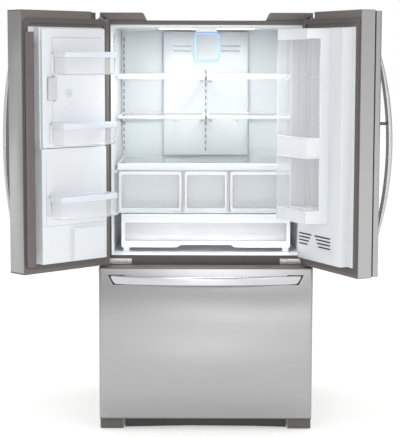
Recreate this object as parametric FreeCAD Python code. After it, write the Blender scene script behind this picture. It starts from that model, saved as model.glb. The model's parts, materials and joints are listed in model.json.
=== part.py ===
import FreeCAD, Part
import os

# French door refrigerator, modelled with both fresh-food doors standing open.
# Millimetres. X to the right, Y to the back, Z up; the doors face -Y.
# The origin lies on the floor below the middle of the cabinet's front face.
V = FreeCAD.Vector
X_AXIS = V(1, 0, 0)
Y_AXIS = V(0, 1, 0)
Z_AXIS = V(0, 0, 1)

# ---- driving dimensions ----
CASE_W = 908.0  # overall width
HALF = CASE_W / 2
CASE_D = 746.0  # cabinet depth without doors
CASE_TOP = 1740.0
CASE_BASE = 31.0  # underside of the base pan
SHEET = 1.0  # outer case sheet
PLATE = 2.0  # front frame, rear panel and base pan

DOOR_FRONT = -108.0
DOOR_BACK = -8.0
DOOR_BOTTOM = 710.0
DOOR_TOP = 1772.0
DOOR_FREE_X = 3.0  # free edge, from the centre line
DOOR_HINGE_X = 453.0
CAP = 6.0  # plastic end caps
PIVOT = (442.0, -45.0)  # fresh-food door hinge axis, right side
LEFT_OPEN = 136.0  # degrees that the left door stands open
RIGHT_OPEN = 116.0

GASKET_FACE = -0.8
RUN = 0.05  # radial clearance of a pin in its bushing

FRIDGE_HALF_FRONT = 404.0
FRIDGE_HALF_REAR = 394.0
FRIDGE_REAR = 650.0
FRIDGE_FLOOR = 741.0
FRIDGE_CEILING = 1712.0
LIP_TOP = 1722.0  # upper edge of the liner's front lip
FREEZER_HALF = 404.0
FREEZER_REAR = 540.0
FREEZER_FLOOR = 75.0
FREEZER_CEILING = 688.0
LINER = 2.5
MACHINE_FRONT = 560.0
MACHINE_TOP = 300.0

DRAWER_BOTTOM = 50.0
DRAWER_TOP = 701.0

SPLIT_BACK = -73.0  # front of the right inner door
SPLIT_FRONT = -78.0  # back of the outer door
SPLIT_PIVOT = (442.0, -91.0)  # outer door hinge axis
PLATEAU = 40.0  # how far the door liners stand into the cabinet
TOWER = (157.0, 396.0, 82.0, 144.0)  # x0, x1, y0, y1 of the clear compartments

SHELF_FRONT = 180.0
SHELF_REAR = 606.0
SHELF_HALF = 386.0
CRISPER_FRONT = 152.0
PANTRY_FRONT = 120.0


# ---- helpers ----
def box(x0, x1, y0, y1, z0, z1):
    return Part.makeBox(x1 - x0, y1 - y0, z1 - z0, V(x0, y0, z0))


def rod(x, y, z, radius, length, axis=Z_AXIS):
    return Part.makeCylinder(radius, length, V(x, y, z), axis)


def fuse(first, *others):
    return first.fuse(list(others)).removeSplitter()


def cut(first, *others):
    return first.cut(list(others))


def mirrored(shape):
    return shape.mirror(V(0, 0, 0), X_AXIS)


def pair(shape):
    return [shape, mirrored(shape)]


def prism_z(points, z0, z1):
    corners = [V(x, y, z0) for x, y in points]
    face = Part.Face(Part.makePolygon(corners + corners[:1]))
    return face.extrude(V(0, 0, z1 - z0))


def prism_y(points, y0, y1):
    corners = [V(x, y0, z) for x, z in points]
    face = Part.Face(Part.makePolygon(corners + corners[:1]))
    return face.extrude(V(0, y1 - y0, 0))


def edges_at(shape, axis, x=None, y=None, z=None):
    """The straight edges along one axis that stand at the given coordinates."""
    found = []
    for edge in shape.Edges:
        a, b = edge.Vertexes[0].Point, edge.Vertexes[-1].Point
        along = (b - a).Length > 1e-6 and abs(abs((b - a).normalize() * axis) - 1) < 1e-6
        here = all(
            want is None or any(abs(got - w) < 1e-6 for w in want)
            for want, got in ((x, a.x), (y, a.y), (z, a.z))
        )
        if along and here:
            found.append(edge)
    return found


def rounded_front(x0, x1, y0, y1, z0, z1, radius):
    """A block whose two upright front edges are rounded."""
    block = box(x0, x1, y0, y1, z0, z1)
    return block.makeFillet(radius, edges_at(block, Z_AXIS, y=[y0]))


def rounded_plate(x0, x1, y0, y1, z0, z1, radius):
    """A plate facing the door opening, with four rounded corners."""
    block = box(x0, x1, y0, y1, z0, z1)
    return block.makeFillet(radius, edges_at(block, Y_AXIS))


def ring_y(x0, x1, y0, y1, z0, z1, side, lower, upper):
    """A rectangular ring facing Y, with its own width on the sides, below and above."""
    inner = box(x0 + side, x1 - side, y0 - 1, y1 + 1, z0 + lower, z1 - upper)
    return cut(box(x0, x1, y0, y1, z0, z1), inner)


def tub(x0, x1, y0, y1, z0, z1, wall):
    """An open-topped bin."""
    inner = box(x0 + wall, x1 - wall, y0 + wall, y1 - wall, z0 + wall, z1 + 1)
    return cut(box(x0, x1, y0, y1, z0, z1), inner)


def crescent(ends, tips, outer, inner, place, sweep):
    """A bowed bar: two arcs between the feet, swept sideways. place turns (along, out) into a point."""
    a0, a1 = ends
    b0, b1 = tips
    mid = (a0 + a1) / 2
    out_arc = Part.Arc(place(a0, 0), place(mid, outer), place(a1, 0)).toShape()
    in_arc = Part.Arc(place(b1, 0), place(mid, inner), place(b0, 0)).toShape()
    far = Part.makeLine(place(a1, 0), place(b1, 0))
    near = Part.makeLine(place(b0, 0), place(a0, 0))
    return Part.Face(Part.Wire([out_arc, far, in_arc, near])).extrude(sweep)


def on_left(shape):
    """Takes a closed right-hand shape to the left door, standing open."""
    return mirrored(shape).rotated(V(-PIVOT[0], PIVOT[1], 0), Z_AXIS, -LEFT_OPEN)


def on_right(shape):
    """Takes a closed right-hand shape to the right door, standing open."""
    return shape.rotated(V(PIVOT[0], PIVOT[1], 0), Z_AXIS, RIGHT_OPEN)


def save(name, *solids):
    shape = solids[0] if len(solids) == 1 else Part.makeCompound(list(solids))
    shape.exportStep("parts/" + name + ".step")


# ---- cabinet shell ----
def liner_block(grow):
    """The fresh-food cavity, a little narrower at the back, grown by a wall."""
    front = FRIDGE_HALF_FRONT + grow
    rear = FRIDGE_HALF_REAR + grow
    back = FRIDGE_REAR + grow
    outline = [(-front, PLATE), (front, PLATE), (rear, back), (-rear, back)]
    return prism_z(outline, FRIDGE_FLOOR - grow, FRIDGE_CEILING + grow)


def freezer_block(grow):
    half = FREEZER_HALF + grow
    return box(-half, half, PLATE, FREEZER_REAR + grow, FREEZER_FLOOR - grow, FREEZER_CEILING + grow)


def liner_lip():
    return box(-405, 405, PLATE, PLATE + LINER, FRIDGE_CEILING + 1, LIP_TOP)


def machine_room():
    return box(-HALF + SHEET, HALF - SHEET, MACHINE_FRONT, CASE_D - PLATE, CASE_BASE + PLATE, MACHINE_TOP)


def outer_case():
    outer = box(-HALF, HALF, PLATE, CASE_D - PLATE, CASE_BASE, CASE_TOP)
    inner = box(-HALF + SHEET, HALF - SHEET, 0, CASE_D, CASE_BASE - 1, CASE_TOP - SHEET)
    return cut(outer, inner)


def front_frame():
    plate = box(-HALF, HALF, 0, PLATE, CASE_BASE, CASE_TOP)
    fridge = box(-405, 405, -1, PLATE + 1, FRIDGE_FLOOR, LIP_TOP)
    freezer = box(-405, 405, -1, PLATE + 1, 73, 690)
    return cut(plate, fridge, freezer)


WATER_INLET = (325.0, 225.0)  # x, z of the water connection on the back
POWER_INLET = (-340.0, 135.0)


def rear_panel():
    panel = box(-HALF, HALF, CASE_D - PLATE, CASE_D, CASE_BASE, CASE_TOP)
    slots = [
        box(x, x + 8, CASE_D - PLATE - 1, CASE_D + 1, z, z + 60)
        for z in (70, 160)
        for x in range(-80, 270, 22)
    ]
    water = rod(WATER_INLET[0], CASE_D - PLATE - 1, WATER_INLET[1], 12.5, 4, Y_AXIS)
    power = rod(POWER_INLET[0], CASE_D - PLATE - 1, POWER_INLET[1], 9, 4, Y_AXIS)
    return cut(panel, water, power, *slots)


ROLLER_Y = 690.0
ROLLER_R = 15.0
AXLE_R = 4.0


def base_frame():
    """Base pan with the forks and axles of the two rear rollers."""
    pan = box(-HALF + SHEET, HALF - SHEET, PLATE, CASE_D - PLATE, CASE_BASE, CASE_BASE + PLATE)
    forks = []
    for x in (379, 411):
        forks += pair(box(x, x + 3, ROLLER_Y - 14, ROLLER_Y + 14, 8, CASE_BASE))
    axles = pair(rod(379, ROLLER_Y, ROLLER_R, AXLE_R, 35, X_AXIS))
    return fuse(pan, *forks, *axles)


def rear_rollers():
    wheel = cut(
        rod(384, ROLLER_Y, ROLLER_R, ROLLER_R, 25, X_AXIS),
        rod(383, ROLLER_Y, ROLLER_R, AXLE_R + RUN, 27, X_AXIS),
    )
    return pair(wheel)


def leveling_legs():
    foot = rod(400, 60, 0, 18, 8)
    stem = rod(400, 60, 8, 6, CASE_BASE - 8)
    return pair(fuse(foot, stem))


def case_insulation():
    block = box(-HALF + SHEET, HALF - SHEET, PLATE, CASE_D - PLATE, CASE_BASE + PLATE, CASE_TOP - SHEET)
    return cut(block, liner_block(LINER), liner_lip(), freezer_block(LINER), machine_room())


def fridge_liner():
    """Fresh-food liner with the ledges for the crisper cover and the runners of the pantry drawer."""
    shell = cut(liner_block(LINER), liner_block(0))
    cavity = liner_block(0.01)
    ledges = [s.common(cavity) for s in pair(box(384, 410, 160, 600, 1082, 1094))]
    decks = [s.common(cavity) for s in pair(box(384, 410, 160, 600, 897, 909))]
    runners = pair(box(336, 362, 134, 600, FRIDGE_FLOOR - 0.01, 770.6))
    return fuse(shell, liner_lip(), *ledges, *decks, *runners)


def freezer_liner():
    return cut(freezer_block(LINER), freezer_block(0))


def rear_duct():
    """Cold-air duct on the rear wall with its outlets, and the air filter's cover in front of it."""
    duct = box(-200, 200, 622, FRIDGE_REAR, 1130, 1706)
    duct = duct.makeFillet(8, edges_at(duct, Z_AXIS, y=[622]))
    holes = [box(x - 6, x + 6, 610, 634, 1286, 1292) for x in (-144, -22, 22, 144)]
    holes += [box(x - 6, x + 6, 610, 634, 1470, 1476) for x in (-22, 22)]
    for x in (-150, 78):
        holes += [box(x, x + 76, 610, 634, z, z + 6) for z in (1612, 1637)]
    cover = rounded_plate(-52, 62, 604, 622, 1572, 1699, 16)
    return [cut(duct, *holes), cover]


def shelf_tracks():
    """Three slotted steel uprights that the shelves hook into."""
    columns = []
    for x, y, top in ((-384, 642, 1690), (0, 614, 1560), (384, 642, 1690)):
        strip = box(x - 8, x + 8, y, y + 8, 1134, top)
        count = int((top - 1150) / 30)
        slots = [box(x - 3, x + 3, y - 1, y + 5, 1150 + 30 * i, 1168 + 30 * i) for i in range(count)]
        columns.append(cut(strip, *slots))
    return columns


def mullion_guide():
    """Fixed guide on the ceiling that turns the mullion as the left door closes."""
    body = prism_z([(-46, 8), (46, 8), (36, 52), (-36, 52)], 1692, FRIDGE_CEILING)
    groove = box(-30, 47, 24, 32, 1691, 1702)
    return cut(body, groove)


# ---- hinges ----
def top_hinge():
    base = box(330, 444, 12, 90, CASE_TOP, CASE_TOP + 4)
    arm = box(428, DOOR_HINGE_X, PIVOT[1], 60, CASE_TOP + 4, CASE_TOP + 8)
    eye = rod(PIVOT[0], PIVOT[1], CASE_TOP + 4, 11, 4)
    pin = rod(PIVOT[0], PIVOT[1], 1716, 6, 36)
    bolts = [rod(x, 50, CASE_TOP + 4, 6, 5) for x in (350, 400)]
    return fuse(base, arm, eye, pin, *bolts)


def hinge_cover():
    top = 1773.0
    outline = [(254, CASE_TOP), (270, top), (450, top), (450, CASE_TOP)]
    hollow = [(262, CASE_TOP - 1), (275, top - 3), (447, top - 3), (447, CASE_TOP - 1)]
    shell = cut(prism_y(outline, 6, 132), prism_y(hollow, 9, 129))
    return cut(shell, box(426, 460, 0, 62, CASE_TOP - 1, CASE_TOP + 13))


def lower_hinge():
    flange = box(318, 446, -4, 0, 703.5, 727)
    arm = box(428, DOOR_HINGE_X, PIVOT[1], 0, 703.5, 706.5)
    eye = rod(PIVOT[0], PIVOT[1], 703.5, 11, 3)
    washer = rod(PIVOT[0], PIVOT[1], 706.5, 9, 3)
    pin = rod(PIVOT[0], PIVOT[1], 706.5, 6, 26)
    bolts = [rod(x, -4, 714, 5, 2.6, V(0, -1, 0)) for x in (338, 372, 406)]
    return fuse(flange, arm, eye, washer, pin, *bolts)


# ---- base trim ----
def toe_grille():
    """Kick plate with a slightly arched lower edge."""
    ends, low, crown, high = 346, 3, 9, 46
    arch = Part.Arc(V(-ends, -60, low), V(0, -60, crown), V(ends, -60, low)).toShape()
    sides = [
        Part.makeLine(V(ends, -60, low), V(ends, -60, high)),
        Part.makeLine(V(ends, -60, high), V(-ends, -60, high)),
        Part.makeLine(V(-ends, -60, high), V(-ends, -60, low)),
    ]
    front = Part.Face(Part.Wire([arch] + sides)).extrude(V(0, 3, 0))
    return fuse(front, box(-ends, ends, -57, 0, high - 3, high))


def foot_cover():
    outer = box(350, 452, -82, 0, 2, 46)
    outer = outer.makeFillet(12, edges_at(outer, Z_AXIS, y=[-82]))
    return cut(outer, box(353, 449, -79, 1, 1, 43))


# ---- machine room and connections ----
def compressor():
    can = rod(-230, 650, 45, 75, 150)
    dome = Part.makeSphere(120, V(-230, 650, 100)).common(rod(-230, 650, 195, 75, 40))
    feet = box(-325, -135, 590, 710, CASE_BASE + PLATE, 45)
    return fuse(can, dome, feet)


def condenser():
    block = box(60, 270, 590, 725, CASE_BASE + PLATE, 235)
    fins = [box(x, x + 12, 585, 730, 52, 228) for x in range(66, 260, 20)]
    return cut(block, *fins)


def water_valve():
    x, z = WATER_INLET
    body = box(x - 25, x + 25, 690, 743.5, z - 25, z + 25)
    collar = rod(x, 743.5, z, 12, 8.5, Y_AXIS)
    stub = rod(x, 752, z, 5.5, 16, Y_AXIS)
    return fuse(body, collar, stub)


def power_inlet():
    x, z = POWER_INLET
    flange = box(x - 20, x + 20, CASE_D, CASE_D + 4, z - 15, z + 15)
    boss = rod(x, CASE_D + 4, z, 11, 12, Y_AXIS)
    neck = rod(x, 730, z, 8.8, 16, Y_AXIS)
    return cut(fuse(flange, boss, neck), rod(x, 729, z, 4.5, 34, Y_AXIS))


def evaporator_cover():
    panel = box(-320, 320, 525, FREEZER_REAR, 330, 675)
    slots = [box(x, x + 60, 520, 533, z, z + 7) for z in (600, 625) for x in range(-290, 260, 80)]
    return cut(panel, *slots)


# ---- shelves ----
def shelf(x0, x1, top, band):
    """One cantilevered half shelf: its frame with two hooks, and its pane."""
    pane = box(x0 + 4, x1 - 4, SHELF_FRONT + 6, SHELF_REAR - 4, top - 8, top - 3)
    rim = box(x0, x1, SHELF_FRONT, SHELF_REAR, top - 12, top)
    window = box(x0 + 10, x1 - 10, SHELF_FRONT + 12, SHELF_REAR - 10, top - 13, top + 1)
    lip = box(x0, x1, SHELF_FRONT, SHELF_FRONT + 8, top - band, top)
    outward = 1 if x1 > 0 else -1
    outer_edge = x1 if outward > 0 else x0
    inner_edge = x0 if outward > 0 else x1
    outer_hook = box(min(outer_edge, outer_edge - outward * 8), max(outer_edge, outer_edge - outward * 8),
                     SHELF_REAR - 60, 642, top - 40, top - 12)
    inner_hook = box(min(inner_edge, inner_edge + outward * 2), max(inner_edge, inner_edge + outward * 2),
                     SHELF_REAR - 60, 614, top - 40, top - 12)
    frame = fuse(cut(rim, window), lip, outer_hook, inner_hook)
    return cut(frame, pane), pane


def shelves():
    frames, panes = [], []
    for top, band in ((1513, 22), (1331, 12)):
        for x0, x1 in ((-SHELF_HALF, -5), (5, SHELF_HALF)):
            frame, pane = shelf(x0, x1, top, band)
            frames.append(frame)
            panes.append(pane)
    return frames, panes


def crisper_frame():
    """Cover frame over the crispers, the posts between them, and the deck below them."""
    rim = box(-387, 387, CRISPER_FRONT, 600, 1094, 1124)
    window = box(-372, 372, CRISPER_FRONT + 14, 590, 1093, 1125)
    seat = box(-380, 380, CRISPER_FRONT + 8, 596, 1118, 1125)
    posts = pair(box(97, 103, CRISPER_FRONT + 8, 590, 912.99, 1094.01))
    deck = box(-386, 386, CRISPER_FRONT - 20, 600, 909, 913)
    cover = cut(rim, window, seat)
    bridges = pair(box(97, 103, CRISPER_FRONT, 600, 1094, 1117))
    return fuse(cover, deck, *posts, *bridges)


def crisper_glass():
    return box(-379.8, 379.8, CRISPER_FRONT + 8.2, 595.8, 1118, 1123)


# ---- drawers of the fresh-food compartment ----
def crisper(x0, x1):
    front = box(x0, x1, CRISPER_FRONT, CRISPER_FRONT + 6, 914, 1090)
    body = tub(x0 + 4, x1 - 4, CRISPER_FRONT + 3, 570, 914, 1080, 2.5)
    hollow = box(x0 + 30, x1 - 30, CRISPER_FRONT - 1, CRISPER_FRONT + 3, 934, 1066)
    return cut(fuse(body, front), hollow)


def pantry_drawer():
    front = box(-369, 369, PANTRY_FRONT, PANTRY_FRONT + 10, 771, 905)
    body = tub(-366, 366, PANTRY_FRONT + 6, 590, 771, 890, 2.5)
    grip = box(-110, 110, PANTRY_FRONT - 1, PANTRY_FRONT + 5, 771, 783)
    return cut(fuse(front, body), grip)


# ---- freezer drawer ----
def drawer_skin():
    z0, z1 = DRAWER_BOTTOM + 4, DRAWER_TOP - 4
    outer = rounded_front(-453, 453, DOOR_FRONT, -14, z0, z1, 10)
    inner = rounded_front(-452, 452, DOOR_FRONT + 1, -13, z0 - 1, z1 + 1, 9)
    return cut(outer, inner)


def drawer_back():
    """Inner panel with the top and bottom caps that close the steel front."""
    panel = box(-453, 453, -14, DOOR_BACK, DRAWER_BOTTOM + 4, DRAWER_TOP - 4)
    top = rounded_front(-453, 453, DOOR_FRONT, DOOR_BACK, DRAWER_TOP - 4, DRAWER_TOP, 10)
    bottom = rounded_front(-453, 453, DOOR_FRONT, DOOR_BACK, DRAWER_BOTTOM, DRAWER_BOTTOM + 4, 10)
    return fuse(panel, top, bottom)


def drawer_gasket():
    return ring_y(-436, 436, DOOR_BACK, GASKET_FACE, 52, 700, 22, 16, 9)


def drawer_handle():
    def place(along, out):
        return V(along, DOOR_FRONT - out, 632)

    return crescent((-410, 410), (-376, 376), 54, 36, place, V(0, 0, 38))


def drawer_basket():
    body = tub(-376, 376, DOOR_BACK, 480, 95, 556, 3)
    flanges = pair(box(375.99, 391, 20, 470, 320, 324))
    return fuse(body, *flanges)


def drawer_rails():
    return pair(box(386, 392, DOOR_BACK, 490, 300, 320))


def mid_rails():
    return pair(box(393, 398.5, 12, 500, 298, 322))


def slide_rails():
    web = box(399.5, FREEZER_HALF, 10, 520, 294, 326)
    lips = [box(395, FREEZER_HALF, 10, 520, z, z + 2.5) for z in (294, 323.5)]
    return pair(fuse(web, *lips))


def freezer_tray():
    return tub(-372, 372, 14, 254, 556.5, 640, 2.5)


# ---- doors, in their closed right-hand position ----
def door_handle():
    def place(along, out):
        return V(28, DOOR_FRONT - out, along)

    return crescent((834, 1633), (872, 1595), 76, 54, place, V(26, 0, 0))


NOTCH_X = 360.0


def hinge_notch():
    """The corner left free above the door for the top hinge arm."""
    return box(NOTCH_X, 460, -92, DOOR_BACK + 1, 1742, DOOR_TOP + 1)


def pivot_holes():
    lower = rod(PIVOT[0], PIVOT[1], DOOR_BOTTOM - 1, 6 + RUN, 26)
    upper = rod(PIVOT[0], PIVOT[1], 1713, 6 + RUN, 40)
    return [lower, upper]


def main_gasket():
    return ring_y(8, 438, DOOR_BACK, GASKET_FACE, 728, 1738, 20, 16, 16)


DISPENSER = (126.0, 314.0, 1006.0, 1334.0)  # x0, x1, z0, z1 of the bezel
RECESS = (136.0, 304.0, 1030.0, 1219.0)  # its opening


def left_door_skin():
    z0, z1 = DOOR_BOTTOM + CAP, DOOR_TOP - CAP
    outer = rounded_front(DOOR_FREE_X, DOOR_HINGE_X, DOOR_FRONT, -12, z0, z1, 10)
    inner = rounded_front(DOOR_FREE_X + 1, DOOR_HINGE_X - 1, DOOR_FRONT + 1, -11, z0 - 1, z1 + 1, 9)
    window = box(RECESS[0] - 5, RECESS[1] + 5, DOOR_FRONT - 1, -106, RECESS[2] - 5, RECESS[3] + 5)
    return cut(outer, inner, window, hinge_notch())


MULLION_AXIS = (15.75, 8.25)
MULLION_HINGES = (800.0, 1215.0, 1630.0)


def mullion_arm(z):
    """Arm on the door that carries the mullion's pin."""
    ax, ay = MULLION_AXIS
    back = DOOR_BACK
    plate = prism_z([(56, back), (42, back), (30, 1), (ax + 1, ay - 4.15), (ax + 4, ay + 3)], z - 7, z + 7)
    eye = rod(ax, ay, z - 7, 4.5, 14)
    return cut(fuse(plate, eye), rod(ax, ay, z - 8, 2 + RUN, 16))


def left_door_frame():
    """End caps, hinge blocks and the border round the liner, with the mullion's arms."""
    x0, x1 = DOOR_FREE_X, DOOR_HINGE_X
    low, high = DOOR_BOTTOM + CAP, DOOR_TOP - CAP
    bottom = rounded_front(x0, x1, DOOR_FRONT, DOOR_BACK, DOOR_BOTTOM, low, 10)
    top = rounded_front(x0, x1, DOOR_FRONT, DOOR_BACK, high, DOOR_TOP, 10)
    border = cut(box(x0, x1, -12, DOOR_BACK, low, high), box(48, 408, -13, -7, 760, 1696))
    blocks = [box(400, 448, -104, -12, low, 746), box(400, 448, -104, -12, 1712, high)]
    frame = cut(fuse(bottom, top, border, *blocks), hinge_notch(), *pivot_holes())
    return fuse(frame, *[mullion_arm(z) for z in MULLION_HINGES])


def mullion():
    """Folding post at the left door's free edge, folded back."""
    ax, ay = MULLION_AXIS
    block = box(8, 24, 6, 42, 746, 1684)
    notches = [box(ax - 5.25, 25, 5, ay + 6.5, z - 12, z + 12) for z in MULLION_HINGES]
    pins = [rod(ax, ay, z - 14, 2, 28) for z in MULLION_HINGES]
    return fuse(cut(block, *notches), *pins)


ICE = (66.0, 390.0, 1222.0, 1698.0)  # x0, x1, z0, z1 of the ice compartment's door
ICE_FACE = 28.0


def liner_flange():
    return box(32, 414, DOOR_BACK, DOOR_BACK + 2, 748, 1706)


def left_door_liner():
    """Liner with the ice compartment above and a stepped box at the foot."""
    upper = box(60, 396, DOOR_BACK, ICE_FACE, 1218, 1702)
    lower = box(60, 396, DOOR_BACK, PLATEAU, 752, 1218)
    step = box(207, 366, PLATEAU, 62, 756, 887)
    room = box(81, 387, -88, ICE_FACE, 1233, 1693)
    hollow = [
        box(63, 393, -9, ICE_FACE - 3, 1221, 1699),
        box(63, 393, -9, PLATEAU - 3, 755, 1215),
        box(210, 363, PLATEAU - 4, 59, 759, 884),
    ]
    shell = cut(fuse(liner_flange(), upper, lower, step), *hollow)
    reliefs = [box(38, 60, DOOR_BACK - 1, DOOR_BACK + 3, z - 8, z + 8) for z in MULLION_HINGES]
    return cut(fuse(shell, room), box(84, 384, -85, ICE_FACE + 1, 1236, 1690), *reliefs)


LATCH = (92.0, 132.0, 1414.0, 1504.0)
LATCH_AXIS = (128.0, 44.0)


def ice_door():
    x0, x1, z0, z1 = ICE
    panel = box(x0, x1, ICE_FACE + 0.4, PLATEAU, z0, z1)
    panel = panel.makeFillet(8, edges_at(panel, Y_AXIS, x=[x0]))
    lx0, lx1, lz0, lz1 = LATCH
    pocket = box(lx0 - 2, lx1 + 2, PLATEAU - 4, PLATEAU + 1, lz0 - 2, lz1 + 2)
    ears = [box(lx1 - 9, lx1 + 1, PLATEAU - 0.01, 49, z, z + 5) for z in (lz0 - 7, lz1 + 2)]
    holes = rod(LATCH_AXIS[0], LATCH_AXIS[1], lz0 - 8, 2 + RUN, lz1 - lz0 + 16)
    return cut(fuse(cut(panel, pocket), *ears), holes)


def ice_latch():
    lx0, lx1, lz0, lz1 = LATCH
    grip = box(lx0, lx1, PLATEAU - 2, PLATEAU + 10, lz0, lz1)
    grip = grip.makeFillet(5, edges_at(grip, Z_AXIS, x=[lx0]))
    scoop = box(lx0 - 1, lx0 + 12, PLATEAU - 3, PLATEAU + 2, lz0 + 12, lz1 - 12)
    stubs = rod(LATCH_AXIS[0], LATCH_AXIS[1], lz0 - 6, 2, lz1 - lz0 + 12)
    return fuse(cut(grip, scoop), stubs)


def door_bin(x0, x1, depth, z0, z1):
    """A clear door bin with a bowed front, hanging on the liner."""
    y0 = PLATEAU + 0.4
    mid = (x0 + x1) / 2

    def bowl(inset, low, high):
        left, right = x0 + inset, x1 - inset
        back = y0 + inset
        edge, nose = y0 + depth * 0.78 - inset, y0 + depth - inset
        sides = [
            Part.makeLine(V(left, edge, low), V(left, back, low)),
            Part.makeLine(V(left, back, low), V(right, back, low)),
            Part.makeLine(V(right, back, low), V(right, edge, low)),
        ]
        bow = Part.Arc(V(right, edge, low), V(mid, nose, low), V(left, edge, low)).toShape()
        return Part.Face(Part.Wire(sides + [bow])).extrude(V(0, 0, high - low))

    return cut(bowl(0, z0, z1), bowl(2.5, z0 + 2.5, z1 + 1))


def dispenser():
    """Water and ice dispenser in the front of the left door: bezel, control panel and recess."""
    bx0, bx1, bz0, bz1 = DISPENSER
    x0, x1, z0, z1 = RECESS
    bezel = rounded_plate(bx0, bx1, DOOR_FRONT - 3, DOOR_FRONT, bz0, bz1, 10)
    housing = box(x0 - 4, x1 + 4, DOOR_FRONT - 1, -94, z0 - 4, z1 + 4)
    pocket = prism_y([(x0 - 4, z0 - 4), (x1 + 4, z0 - 4), (x1 + 4, z1 + 4), (x0 - 4, z1 + 4)], -95, -46)
    hollow = box(x0, x1, DOOR_FRONT - 4, -50, z0, z1)
    return cut(fuse(bezel, housing, pocket), hollow)


PADDLE_AXIS = (-78.0, 1196.0)  # y, z


def dispenser_paddle():
    y, z = PADDLE_AXIS
    blade = box(192, 248, y - 2, y + 2, 1096, z)
    stem = rod(RECESS[0] + 0.3, y, z, 2.8, RECESS[1] - RECESS[0] - 0.6, X_AXIS)
    return fuse(blade, stem)


def right_door_frame():
    """Frame of the inner right door, with the arms and pins that carry the outer door."""
    x0, x1 = DOOR_FREE_X, DOOR_HINGE_X
    block = box(x0, x1, SPLIT_BACK, DOOR_BACK, DOOR_BOTTOM, DOOR_TOP)
    passage = box(165, 388, SPLIT_BACK - 1, DOOR_BACK + 1, 972, 1660)
    pockets = [
        box(36, 157, SPLIT_BACK + 4, DOOR_BACK + 1, 752, 1700),
        box(150, 404, SPLIT_BACK + 4, DOOR_BACK + 1, 752, 960),
    ]
    frame = cut(block, passage, hinge_notch(), *pivot_holes(), *pockets)
    px, py = SPLIT_PIVOT
    foot = box(400, x1, -103, SPLIT_BACK + 10, DOOR_BOTTOM, DOOR_BOTTOM + 2.5)
    head = box(NOTCH_X - 20, x1, -103, -60, DOOR_TOP - 2.5, DOOR_TOP)
    low_pin = rod(px, py, DOOR_BOTTOM, 4, 28)
    high_pin = rod(px, py, DOOR_TOP - 28, 4, 28)
    frame = cut(fuse(frame, foot, head), *pivot_holes()[:1])
    return fuse(frame, low_pin, high_pin)


def right_door_liner():
    """Liner with the passage to the clear compartments and two sets of vents."""
    body = box(60, 396, DOOR_BACK, PLATEAU, 752, 1702)
    hollow = box(63, 393, -9, PLATEAU - 3, 755, 1699)
    sleeve = box(162, 391, DOOR_BACK, PLATEAU, 969, 1663)
    passage = box(165, 388, -9, PLATEAU + 1, 972, 1660)
    vents = []
    for row in range(4):
        z = 854 - 14 * row
        vents.append(box(285 + 10 * row, 388, PLATEAU - 4, PLATEAU + 1, z, z + 6))
        vents.append(box(136, 262 - 10 * row, PLATEAU - 4, PLATEAU + 1, z, z + 6))
    shell = cut(fuse(liner_flange(), body), hollow)
    return cut(fuse(shell, sleeve), passage, *vents)


def right_gaskets():
    """The cabinet gasket on the inner door's back, and the seal on its front for the outer door."""
    seal = ring_y(20, 428, SPLIT_FRONT + 0.4, SPLIT_BACK, 730, 1752, 14, 14, 14)
    return [main_gasket(), cut(seal, hinge_notch())]


def tower_frame():
    """White frame of the door-in-door compartments: base ring, bars and shelves."""
    x0, x1, y0, y1 = TOWER
    base = cut(box(x0, x1, PLATEAU, y0, 920, 1700), box(x0 + 8, x1 - 8, PLATEAU - 1, y0 + 1, 972, 1660))
    bands = []
    for low, high, plate in ((920, 972, 920), (1186, 1264, 1186), (1660, 1700, 1697)):
        band = cut(box(x0, x1, y0, y1, low, high), box(x0 + 3, x1 - 3, y0 - 1, y1 - 3, low - 1, high + 1))
        bands += [band, box(x0, x1, y0, y1, plate, plate + 3)]
    return fuse(base, *bands)


def tower_panels():
    """Clear walls of the compartments, with a middle shelf."""
    x0, x1, y0, y1 = TOWER
    walls = []
    for low, high in ((972, 1186), (1264, 1660)):
        inner = box(x0 + 2.5, x1 - 2.5, y0 - 1, y1 - 2.5, low - 1, high + 1)
        walls.append(cut(box(x0, x1, y0, y1, low, high), inner))
    walls[1] = fuse(walls[1], box(x0 + 2, x1 - 2, y0, y1 - 2, 1507, 1511))
    return walls


def outer_door_skin():
    z0, z1 = 720.0, 1762.0
    outer = rounded_front(DOOR_FREE_X, DOOR_HINGE_X, DOOR_FRONT, -82, z0, z1, 10)
    inner = rounded_front(DOOR_FREE_X + 1, DOOR_HINGE_X - 1, DOOR_FRONT + 1, -81, z0 - 1, z1 + 1, 9)
    return cut(outer, inner)


def outer_door_back():
    """Inner panel, end caps and hinge blocks of the outer door."""
    x0, x1 = DOOR_FREE_X, DOOR_HINGE_X
    panel = box(x0, x1, -82, SPLIT_FRONT, 714, 1768)
    bottom = rounded_front(x0, x1, DOOR_FRONT, -82, 714, 720, 10)
    top = rounded_front(x0, x1, DOOR_FRONT, -82, 1762, 1768, 10)
    blocks = [box(425, 448, -104, -82, 720, 745), box(425, 448, -104, -82, 1737, 1762)]
    px, py = SPLIT_PIVOT
    holes = [rod(px, py, 713, 4 + RUN, 27), rod(px, py, 1742, 4 + RUN, 27)]
    return cut(fuse(panel, bottom, top, *blocks), *holes)


BUTTON = (41.0, 1324.0)  # x, z of the release button behind the outer door's handle


def outer_handle():
    socket = rod(BUTTON[0], -173.2, BUTTON[1], 4 + RUN, 24, Y_AXIS)
    return cut(door_handle(), socket)


def release_button():
    x, z = BUTTON
    head = box(x - 8, x + 8, -154, -116, z - 6, z + 6)
    stem = rod(x, -168.2, z, 4, 16, Y_AXIS)
    return fuse(head, stem)


# ---- build ----
os.makedirs("parts", exist_ok=True)

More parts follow.
